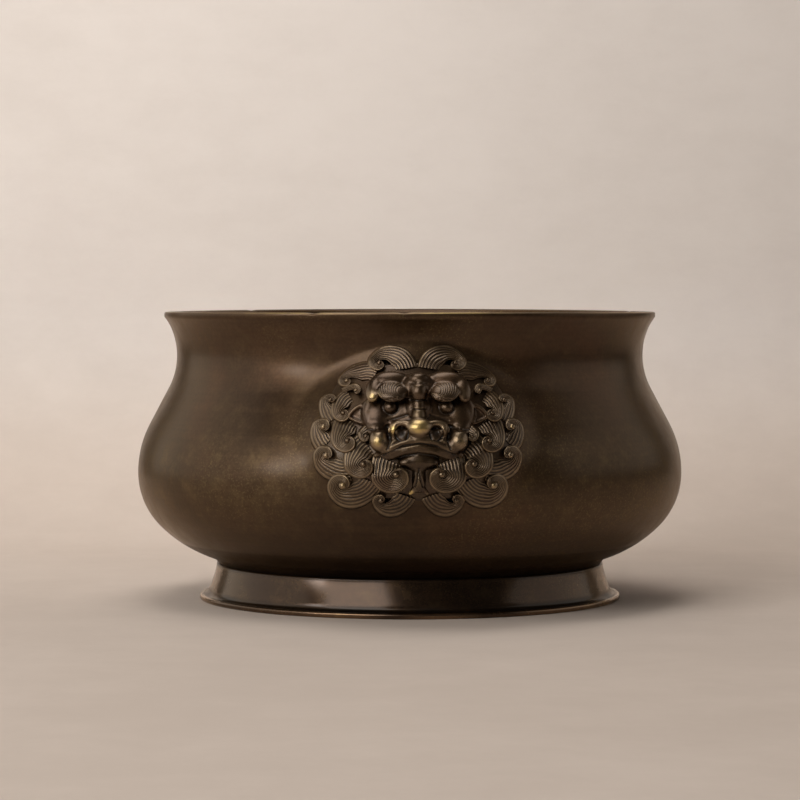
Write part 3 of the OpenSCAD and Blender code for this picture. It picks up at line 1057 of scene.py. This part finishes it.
@dataclass
class Mane:
    """The mane of a mask: a low body and the locks laid on it."""

    frame: MaskFrame
    material: Material
    core_reach: Point = (39.0, 28.0)
    core_drop: float = 1.5
    core_rise: float = 0.2
    core_round: float = 0.36
    face_reach: Point = (19.5, 16.5)
    face_mid: float = 3.0
    seat: float = 7.4
    skirt: float = 4.4
    lock_steps: int = 76
    bead_rise: float = 1.4

    def build(self) -> list[Piece]:
        """Builds the mane for both masks.

        Returns:
            The pieces.
        """
        bm = bmesh.new()
        for shade in Shade:
            bm.verts.layers.float.new(shade.value)
        self.core(bm)
        locks = OUTER_LOCKS + INNER_LOCKS
        for lock in (*locks, *(lock.mirrored() for lock in locks)):
            self.lay(bm, lock)
        bmesh.ops.recalc_face_normals(bm, faces=bm.faces)
        drawn = bpy.data.meshes.new("mane_drawn")
        bm.to_mesh(drawn)
        bm.free()
        pieces = both_sides(drawn, "mane", self.frame, self.material)
        bpy.data.meshes.remove(drawn)
        return pieces

    def core(self, bm: Form) -> None:
        """Adds the body under the locks, with a flat seat for the head.

        Args:
            bm: Form that takes the body.
        """
        made = bmesh.ops.create_grid(bm, x_segments=72, y_segments=60, size=1.0)["verts"]
        x, y = np.array([v.co[:2] for v in made]).T
        u = self.core_reach[0] * x * np.sqrt(1.0 - self.core_round * y * y)
        v = self.core_reach[1] * y * np.sqrt(1.0 - self.core_round * x * x) - self.core_drop
        inside = 1.0 - np.square(u / self.face_reach[0]) - np.square((v - self.face_mid) / self.face_reach[1])
        top = self.frame.mane(u, v) + self.core_rise
        w = top + (np.minimum(top, self.seat) - top) * smooth(inside, 0.0, 0.25)
        # The body, seen only between the locks, gets a little painted shade.
        self.set_down(bm, made, (u, v, w), np.zeros_like(u), np.full_like(u, 0.15))

    def lay(self, bm: Form, lock: Lock) -> None:
        """Adds one lock and its bead.

        Args:
            bm: Form that takes the lock.
            lock: The lock.
        """
        across_steps = int(np.clip(max(lock.reach, lock.fan) * 4.6, 22, 46))
        sheet = bmesh.ops.create_grid(bm, x_segments=self.lock_steps, y_segments=across_steps, size=1.0)
        made = sheet["verts"]
        x, y = np.array([v.co[:2] for v in made]).T
        u, v, height, wear, cavity = lock.surface((x + 1.0) / 2.0, (y + 1.0) / 2.0)
        self.set_down(bm, made, (u, v, self.frame.mane(u, v) + height), wear, cavity)
        eye_u, eye_v = np.array([lock.eye[0]]), np.array([lock.eye[1]])
        w = float(self.frame.mane(eye_u, eye_v)[0]) + lock.lift + self.bead_rise
        matrix = Matrix.Translation((*lock.eye, w)) @ Matrix.Diagonal((1.0, 1.0, 1.15, 1.0))
        bead = bmesh.ops.create_uvsphere(bm, u_segments=18, v_segments=12, radius=lock.bead, matrix=matrix)
        worn_and_highlit, shaded_and_dirty = shade_layers(bm)
        # The bead's top gets wear and its underside painted shade.
        for vert in bead["verts"]:
            rise = (vert.co.z - w) / lock.bead
            vert[worn_and_highlit] = lock.gold * max(0.0, rise)
            vert[shaded_and_dirty] = min(0.8, max(0.0, 0.4 - rise))

    def set_down(
        self,
        bm: Form,
        made: list[bmesh.types.BMVert],
        uvw: tuple[Array, Array, Array],
        wear: Array,
        cavity: Array,
    ) -> None:
        """Places a sheet's vertices and turns its edge down to the wall.

        Args:
            bm: Form that holds the sheet.
            made: The sheet's vertices.
            uvw: Their places.
            wear: Their wear and painted highlight.
            cavity: Their painted shade and dirt.
        """
        worn_and_highlit, shaded_and_dirty = shade_layers(bm)
        for vert, u, v, w, a, b in zip(made, *uvw, wear, cavity):
            vert.co = (u, v, w)
            vert[worn_and_highlit], vert[shaded_and_dirty] = a, b
        edges = dict.fromkeys(edge for vert in made for edge in vert.link_edges)
        turned = bmesh.ops.extrude_edge_only(bm, edges=[edge for edge in edges if edge.is_boundary])["geom"]
        fresh = [g for g in turned if isinstance(g, bmesh.types.BMVert)]
        u, v, w = np.array([vert.co for vert in fresh]).T
        foot = np.maximum(w - self.skirt, self.frame.ground(u, v) + 0.05)
        # The turned-down skirts get painted shade.
        for vert, low in zip(fresh, foot):
            vert.co.z = min(vert.co.z, low)
            vert[worn_and_highlit], vert[shaded_and_dirty] = 0.0, 0.8


def both_sides(drawn: Mesh, kind: str, frame: MaskFrame, material: Material) -> list[Piece]:
    """Sets a form of the mask on the front and on the back of the bowl.

    Args:
        drawn: The form on the mask's plane, in millimetres.
        kind: Second word of the node's name.
        frame: The mask's plane.
        material: Finish of the form.

    Returns:
        The pieces.
    """
    places = coordinates(drawn)
    places[:, 1] -= frame.sag * np.maximum(0.0, places[:, 2] - frame.sag_from)
    pieces = []
    for side in Side:
        node = f"{side.name.lower()}_{kind}"
        mesh = drawn.copy()
        mesh.name = f"{node}_visual"
        move(mesh, frame.to_vessel(places, side) * MM)
        mesh.shade_smooth()
        piece = bpy.data.objects.new(mesh.name, mesh)
        bpy.context.scene.collection.objects.link(piece)
        declare(piece, node, Slot.MASK, material)
        pieces.append(piece)
    return pieces


@dataclass(frozen=True)
class Lump:
    """A rounded swelling of the face: its middle, its half sizes across, up and out, and its turns."""

    mid: Triple
    half: Triple
    turn: Triple = (0.0, 0.0, 0.0)

    def matrix(self, way: int) -> Matrix:
        """Places a ball of radius 1 as the swelling.

        Args:
            way: 1 as drawn, -1 mirrored.

        Returns:
            The matrix.
        """
        tilt, twist, roll = (math.radians(a) for a in self.turn)
        turn = Euler((tilt, twist * way, roll * way)).to_matrix().to_4x4()
        mid = Matrix.Translation((self.mid[0] * way, *self.mid[1:]))
        return mid @ turn @ Matrix.Diagonal((*self.half, 1.0))


Bar = tuple[tuple[float, float, float, float], ...]

MIDDLE_LUMPS = (
    Lump((0, 4, 7.5), (21.5, 18.5, 8.5)),
    Lump((0, -4.0, 12.0), (15.5, 8.8, 8.0)),
    Lump((0, 20.6, 14.6), (4.0, 2.3, 3.0)),
    Lump((0, 16.6, 13.0), (7.5, 5.6, 5.4)),
    Lump((0, 15.4, 16.6), (3.6, 4.6, 4.2)),
    Lump((0, 8.6, 13.6), (5.8, 7.0, 4.6)),
    Lump((0, 0.8, 18.8), (5.7, 4.0, 4.8)),
    Lump((0, -1.6, 18.0), (4.4, 2.6, 3.8)),
    Lump((0, -12.6, 11.6), (9.8, 5.2, 5.6)),
    Lump((0, -22.0, 9.6), (3.4, 4.4, 2.6)),
)
SIDE_LUMPS = (
    Lump((-15.4, 5.0, 9.6), (7.6, 8.2, 5.4)),
    Lump((-10.6, 15.0, 17.2), (6.1, 5.0, 2.4), (-38, -8, -8)),
    Lump((-11.0, 18.6, 11.8), (8.6, 4.8, 3.6)),
    Lump((-18.0, 15.7, 13.8), (3.4, 5.6, 2.6), (-30, -30, 8)),
    Lump((-11.2, 8.9, 14.4), (3.0, 3.0, 3.0)),
    Lump((-11.6, 3.6, 10.2), (5.6, 4.8, 4.8)),
    Lump((-15.7, -4.7, 15.2), (4.2, 5.0, 4.6), (0, -10, 8)),
    Lump((-16.6, -0.6, 11.8), (4.6, 5.0, 3.8)),
    Lump((-7.0, -1.9, 17.4), (1.9, 1.9, 1.9)),
    Lump((-9.9, 0.0, 17.4), (2.2, 3.2, 3.4)),
    Lump((-4.7, -13.6, 13.8), (3.6, 2.5, 3.2)),
    Lump((-24.0, 6.0, 8.6), (3.8, 3.4, 1.2), (0, -20, 0)),
    Lump((-9.5, -6.2, 14.2), (8.0, 3.8, 5.6), (0, 0, 24)),
)
MIDDLE_BARS: tuple[Bar, ...] = (
    ((0, 12.4, 16.8, 2.8), (0, 9.0, 17.0, 2.6), (0, 5, 17.8, 3.0)),
    ((0, -15.5, 12.4, 3.2), (0, -20, 11.8, 3.4), (0, -23.6, 10.8, 2.8)),
)
SIDE_BARS: tuple[Bar, ...] = (
    (
        (-3.6, 1.8, 20.2, 1.4),
        (-6.6, 2.6, 19.6, 1.3),
        (-9.4, 1.9, 19.0, 1.5),
        (-10.8, -0.6, 18.0, 1.7),
        (-9.8, -3.4, 17.2, 1.3),
    ),
    ((-19.6, 10.2, 10.6, 2.2), (-20.6, 7.2, 11.0, 2.2), (-20.0, 3.8, 11.4, 2.2), (-18.2, 1.2, 12.4, 2.4)),
    ((-16.8, -11.0, 13.2, 1.6), (-12.4, -8.4, 16.6, 1.5), (-6.6, -5.2, 18.9, 1.6), (0, -4.2, 19.6, 1.7)),
    ((-15.2, -12.1, 12.2, 1.3), (-10.6, -10.9, 15.0, 1.8), (-6.2, -8.9, 16.7, 1.9), (0, -7.8, 17.4, 2.0)),
    (
        (-21.6, 9.8, 10.4, 1.0),
        (-25.0, 8.4, 10.0, 0.9),
        (-27.8, 5.0, 9.0, 0.8),
        (-25.4, 3.2, 9.4, 0.8),
        (-22.4, 2.0, 10.0, 0.9),
    ),
    ((-1.2, -22.4, 10.8, 1.8), (-2.2, -24.8, 10.4, 1.5), (-3.5, -26.4, 10.2, 1.0)),
)
# Points, width and depth of each line cut into both halves of the face.
FACE_LINES = (
    (((0, 11.4), (3.4, 11.8)), 0.4, 0.7),
    (((0, 8.0), (2.8, 8.2)), 0.35, 0.4),
    (((0, 18.4), (3.8, 18.6)), 0.5, 0.3),
    (((0, -6.0), (6.6, -7.1), (11.8, -9.8), (16.6, -12.0)), 0.4, 0.9),
    (((0, -10.2), (6.0, -11.2), (11.0, -13.2)), 0.5, 0.6),
    (((12.4, 1.0), (12.2, -1.6), (11.6, -4.6), (12.6, -8.0)), 0.6, 0.8),
    (((21.0, -0.2), (16.5, -0.6), (13.4, 0.6)), 0.6, 0.4),
    (((5.0, -3.4), (8.0, -4.6), (10.8, -6.2)), 0.5, 0.6),
    (((4.6, 5.6), (8.0, 4.4), (12.0, 3.4)), 0.5, 0.35),
    (((0.0, -16.4), (0.6, -20.0), (1.6, -23.4)), 0.4, 0.5),
)
# Middle, radius, width and depth of the rings round the nostrils and the eyes.
FACE_RINGS = ((7.0, -1.9, 2.5, 0.4, 0.7), (11.2, 8.9, 3.2, 0.5, 0.4))
# Middle and size of the painted shade in a nostril.
NOSTRIL: Triple = (7.0, -1.9, 2.0)
# Middle, size and amount of each place of wear and painted highlight; those on the lit left are stronger.
RUBBED_AND_HIGHLIT_SPOTS = (
    (0.0, 1.2, 4.8, 0.95),
    (-9.8, 0.0, 2.6, 0.8),
    (9.0, 1.6, 2.2, 0.4),
    (-16.0, -5.2, 3.8, 0.75),
    (16.6, -4.8, 3.4, 0.55),
    (-18.2, 13.2, 2.8, 0.7),
    (18.0, 14.6, 2.0, 0.25),
    (-2.9, -25.9, 1.4, 0.8),
)


@dataclass
class Head:
    """The lion's head: swellings fused to one casting, then chased."""

    frame: MaskFrame
    material: Material
    voxel: float = 0.34
    settle: int = 13
    seat: float = 7.5
    brow_root: Point = (5.4, 15.0)
    brow_mid: Point = (10.4, 14.8)
    brow_half: Point = (6.2, 4.4)
    brow_pitch: float = 0.48
    brow_deep: float = 0.3

    def build(self) -> list[Piece]:
        """Builds the head for both masks.

        Returns:
            The pieces.
        """
        mesh = self.fused()
        self.chase(mesh)
        self.tone(mesh)
        pieces = both_sides(mesh, "head", self.frame, self.material)
        bpy.data.meshes.remove(mesh)
        return pieces

    def fused(self) -> Mesh:
        """Fuses the swellings and cuts the casting flat at its seat.

        Returns:
            The casting on the mask's plane, in millimetres.
        """
        bm = bmesh.new()
        form = bpy.data.meshes.new("head_form")
        for matrix, fineness in self.balls():
            ball = bmesh.new()
            bmesh.ops.create_icosphere(ball, subdivisions=fineness, radius=1.0, matrix=matrix)
            ball.to_mesh(form)
            ball.free()
            bm.from_mesh(form)
        bpy.data.meshes.remove(form)
        source = add_piece("head_forms", bm)
        fuse = source.modifiers.new("fuse", "REMESH")
        fuse.mode = "VOXEL"
        fuse.voxel_size = self.voxel
        graph = bpy.context.evaluated_depsgraph_get()
        mesh = bpy.data.meshes.new_from_object(source.evaluated_get(graph))
        forms = source.data
        bpy.data.objects.remove(source)
        bpy.data.meshes.remove(forms)
        move(mesh, relax(mesh, coordinates(mesh), self.settle))
        bm = bmesh.new()
        bm.from_mesh(mesh)
        whole = bm.verts[:] + bm.edges[:] + bm.faces[:]
        seat, up = (0.0, 0.0, self.seat), (0.0, 0.0, 1.0)
        cut = bmesh.ops.bisect_plane(bm, geom=whole, plane_co=seat, plane_no=up, clear_inner=True)["geom_cut"]
        bmesh.ops.holes_fill(bm, edges=[g for g in cut if isinstance(g, bmesh.types.BMEdge)], sides=0)
        bmesh.ops.triangulate(bm, faces=[f for f in bm.faces if len(f.verts) > 4])
        bm.to_mesh(mesh)
        bm.free()
        return mesh

    def balls(self) -> Iterable[tuple[Matrix, int]]:
        """Lists the balls that make up the head.

        Yields:
            Place of a ball of radius 1 and the fineness of its faces.
        """
        for way in (1, -1):
            for lump in SIDE_LUMPS + (MIDDLE_LUMPS if way > 0 else ()):
                yield lump.matrix(way), 4
            for bar in SIDE_BARS + (MIDDLE_BARS if way > 0 else ()):
                for u, v, w, r in self.along(bar):
                    yield Matrix.Translation((u * way, v, w)) @ Matrix.Scale(r, 4), 2

    @staticmethod
    def along(bar: Bar) -> Array:
        """Follows the smooth line of a rounded bar.

        Args:
            bar: Place and radius of each point on the line.

        Returns:
            Closely spaced rows of place and radius.
        """
        knots = np.array(bar, dtype=np.float64)
        padded = np.vstack([2 * knots[0] - knots[1], knots, 2 * knots[-1] - knots[-2]])
        rows = []
        for i in range(len(knots) - 1):
            a, b, c, d = padded[i : i + 4]
            count = max(3, math.ceil(np.linalg.norm((c - b)[:3]) / (0.35 * min(b[3], c[3]))))
            t = (np.arange(count + 1) / count)[:, None]
            square, cube = 2 * a - 5 * b + 4 * c - d, 3 * b - a - 3 * c + d
            rows.append(0.5 * (2 * b + (c - a) * t + square * t**2 + cube * t**3))
        return np.vstack(rows)

    def chase(self, mesh: Mesh) -> None:
        """Cuts the lines and hollows of the face.

        Args:
            mesh: The casting.
        """
        places, out = coordinates(mesh), normals(mesh)
        facing = smooth(out[:, 2], 0.0, 0.35) * (places[:, 2] > self.seat + 0.5)
        depth = np.zeros(len(places))
        u, v = np.abs(places[:, 0]), places[:, 1]
        for path, width, deep in FACE_LINES:
            depth += deep * np.exp(-np.square(self.distance(u, v, path) / width))
        for mid_u, mid_v, radius, wide, deep in FACE_RINGS:
            ring = np.abs(np.hypot(u - mid_u, v - mid_v) - radius)
            depth += deep * np.exp(-np.square(ring / wide))
        ahead, up = u - self.brow_root[0], v - self.brow_root[1]
        sweep = (ahead * ahead + up * up) / np.maximum(0.3, 2.0 * (0.92 * ahead + 0.39 * up))
        (mid_u, mid_v), (wide, tall) = self.brow_mid, self.brow_half
        patch = smooth(1.0 - np.square((u - mid_u) / wide) - np.square((v - mid_v) / tall), 0.0, 0.3)
        hairs = np.square(np.cos(np.pi * sweep / self.brow_pitch))
        depth += self.brow_deep * patch * hairs * smooth(sweep, 1.4, 2.0)
        move(mesh, places - out * (depth * facing)[:, None])

    @staticmethod
    def distance(u: Array, v: Array, path: Sequence[Point]) -> Array:
        """Measures the distance to a line on the mask's plane.

        Args:
            u: Places across.
            v: Places up.
            path: Points of the line.

        Returns:
            The distances.
        """
        best = np.full(len(u), 1e3)
        for (a, b), (c, d) in zip(path, path[1:]):
            t = np.clip(((u - a) * (c - a) + (v - b) * (d - b)) / ((c - a) ** 2 + (d - b) ** 2), 0.0, 1.0)
            best = np.minimum(best, np.hypot(u - a - t * (c - a), v - b - t * (d - b)))
        return best

    def tone(self, mesh: Mesh) -> None:
        """Paints wear with painted highlights on the high points, and painted shade with dirt in the hollows,
        the nostrils and round the seat.

        Args:
            mesh: The chased casting.
        """
        places, out = coordinates(mesh), normals(mesh)
        fine = np.einsum("ij,ij->i", places - relax(mesh, places, 4), out)
        broad = np.einsum("ij,ij->i", places - relax(mesh, places, 40), out)
        u, v, w = places.T
        # Wear on the high points; the spots add wear and painted highlights, stronger on the lit left.
        wear = 0.12 * smooth(broad, 0.1, 0.6) + 0.2 * smooth(fine, 0.012, 0.06)
        for spot_u, spot_v, size, amount in RUBBED_AND_HIGHLIT_SPOTS:
            near = np.exp(-np.square(np.hypot(u - spot_u, v - spot_v) / size))
            wear += amount * near * smooth(broad, -0.15, 0.2)
        # Painted shade with some dirt in the hollows, the nostrils and where the head meets the mane.
        cavity = 0.45 * smooth(-broad, 0.1, 0.7) + 0.5 * smooth(-fine, 0.012, 0.06)
        hole_u, hole_v, hole_size = NOSTRIL
        cavity += 0.9 * np.exp(-np.square(np.hypot(np.abs(u) - hole_u, v - hole_v) / hole_size))
        paint(mesh, Shade.WEAR, wear * (1.0 - np.clip(cavity, 0.0, 1.0)))
        paint(mesh, Shade.CAVITY, np.maximum(cavity, (w < self.seat + 1.0) * 0.6))


@dataclass
class Pins:
    """The pins and washers, which keep their CAD shape."""

    material: Material
    kinds: tuple[str, ...] = ("head_pin", "mane_pins", "washers")

    def dress(self) -> list[Piece]:
        """Gives the CAD nodes their finish.

        Returns:
            The dressed nodes.
        """
        names = {f"{side.name.lower()}_{kind}" for side in Side for kind in self.kinds}
        pieces = [piece for piece in bpy.data.objects if piece.type == "MESH" and piece.name in names]
        for piece in pieces:
            piece.data.materials.clear()
            piece.data.materials.append(self.material)
        return pieces


@dataclass(frozen=True)
class Lamp:
    """A soft lamp: its place, width and height, power, colour, aim and spread in degrees."""

    name: str
    place: Triple
    size: Point
    power: float
    colour: Colour
    aim: Triple = (0.0, 0.0, 0.07)
    spread: float = 180.0

    def hang(self) -> None:
        """Adds the lamp to the scene."""
        data = bpy.data.lights.new(self.name, "AREA")
        data.shape = "RECTANGLE"
        data.size, data.size_y = self.size
        data.energy = self.power
        data.color = self.colour
        data.spread = math.radians(self.spread)
        lamp = bpy.data.objects.new(self.name, data)
        lamp.location = self.place
        lamp.rotation_euler = (Vector(self.aim) - Vector(self.place)).to_track_quat("-Z", "Y").to_euler()
        bpy.context.scene.collection.objects.link(lamp)


LAMPS = (
    Lamp("key", (-0.70, -1.05, 0.76), (0.9, 0.9), 8.6, (1.0, 0.965, 0.93)),
    Lamp("fill", (-1.25, 0.26, 0.52), (1.85, 1.04), 5.2, (1.0, 0.95, 0.89)),
    Lamp("top", (-0.1, 0.05, 1.5), (1.3, 0.7), 8.6, (1.0, 0.965, 0.93)),
    Lamp("wall", (-1.1, -0.55, 0.5), (0.5, 0.5), 1.0, (1.0, 0.98, 0.97), (-0.12, 0.38, 0.34), 44.0),
    Lamp("side", (1.5, 0.1, 0.62), (1.9, 1.0), 3.0, (1.0, 0.95, 0.90)),
)


@dataclass
class Studio:
    """Floor, backdrop, lights and camera."""

    plaster: Material
    distance: float = 1.328
    eye_z: float = 0.137
    azimuth: float = 1.6
    aim_z: float = 0.0874
    aim_shift: float = -0.0043
    lens: float = 135.0
    floor_half: float = 1.3
    floor_front: float = -1.0
    floor_back: float = 1.0
    board: Point = (-0.29, 0.42)
    board_y: float = 0.24
    board_high: float = 1.6
    curve: float = 0.14
    air: Colour = (0.9, 0.82, 0.75)
    air_light: float = 0.05

    def build(self) -> None:
        """Sets up the studio."""
        self.cove()
        self.camera()
        for lamp in LAMPS:
            lamp.hang()
        world = bpy.data.worlds.new("studio")
        world.use_nodes = True
        back = world.node_tree.nodes["Background"]
        back.inputs["Color"].default_value = (*self.air, 1.0)
        back.inputs["Strength"].default_value = self.air_light
        bpy.context.scene.world = world
        bpy.context.scene.view_settings.view_transform = "Standard"

    def cove(self) -> None:
        """Builds the floor that curves up to the backdrop."""
        (left, right), front, curve = self.board, (self.floor_front, 0.0), self.curve
        bend = arc((self.board_y, curve), curve, -90, 0, 16)
        line = [front, *bend, (self.board_y + curve, self.board_high)]
        strips = [(left, right, a, b) for a, b in zip(line, line[1:])]
        sides = ((-self.floor_half, left), (right, self.floor_half))
        strips += [(x0, x1, front, (self.floor_back, 0.0)) for x0, x1 in sides]
        bm = bmesh.new()
        for x0, x1, a, b in strips:
            bm.faces.new([bm.verts.new((x, *p)) for x, p in ((x0, a), (x1, a), (x1, b), (x0, b))])
        bmesh.ops.remove_doubles(bm, verts=bm.verts, dist=1e-5)
        cove = add_piece("cove", bm)
        cove.data.materials.append(self.plaster)

    def camera(self) -> None:
        """Places the camera at the photograph's angle."""
        turn = math.radians(self.azimuth)
        right = Vector((math.cos(turn), -math.sin(turn), 0.0))
        eye = Vector((-math.sin(turn) * self.distance, -math.cos(turn) * self.distance, self.eye_z))
        aim = right * self.aim_shift + Vector((0.0, 0.0, self.aim_z))
        data = bpy.data.cameras.new("camera")
        data.lens = self.lens
        data.clip_start = 0.05
        camera = bpy.data.objects.new("camera", data)
        camera.location = eye
        camera.rotation_euler = (aim - eye).to_track_quat("-Z", "Y").to_euler()
        bpy.context.scene.collection.objects.link(camera)
        bpy.context.scene.camera = camera


def main() -> None:
    """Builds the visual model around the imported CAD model."""
    logging.basicConfig(level=logging.INFO, format="%(name)s: %(message)s")
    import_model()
    wall = WallProfile()
    frame = MaskFrame(wall)
    bowl_finish = BronzeFinish(Slot.BOWL.value).build()
    foot_finish = BronzeFinish(
        Slot.FOOT.value,
        deep=(0.026, 0.015, 0.008),
        brown=(0.045, 0.027, 0.014),
        rubbed_and_highlit=(0.22, 0.13, 0.07),
        gold_share=0.25,
        rough=0.25,
        coat=0.44,
        coat_rough=0.16,
    ).build()
    mask_finish = BronzeFinish(
        Slot.MASK.value,
        patch_scale=40.0,
        streak=0.0,
        gold_share=0.3,
        red_share=0.5,
        rough=0.34,
        coat=0.55,
        coat_rough=0.26,
    ).build()
    pieces = [Bowl(wall, frame, bowl_finish).build(), *Foot(foot_finish).build()]
    pieces += [*Mane(frame, mask_finish).build(), *Head(frame, mask_finish).build()]
    pieces += Pins(HammeredFinish(Slot.PIN.value).build()).dress()
    for piece in pieces:
        LOG.info("%s has %d faces", piece.name, len(piece.data.polygons))
    Studio(PlasterFinish("plaster").build()).build()


if __name__ == "__main__":
    main()
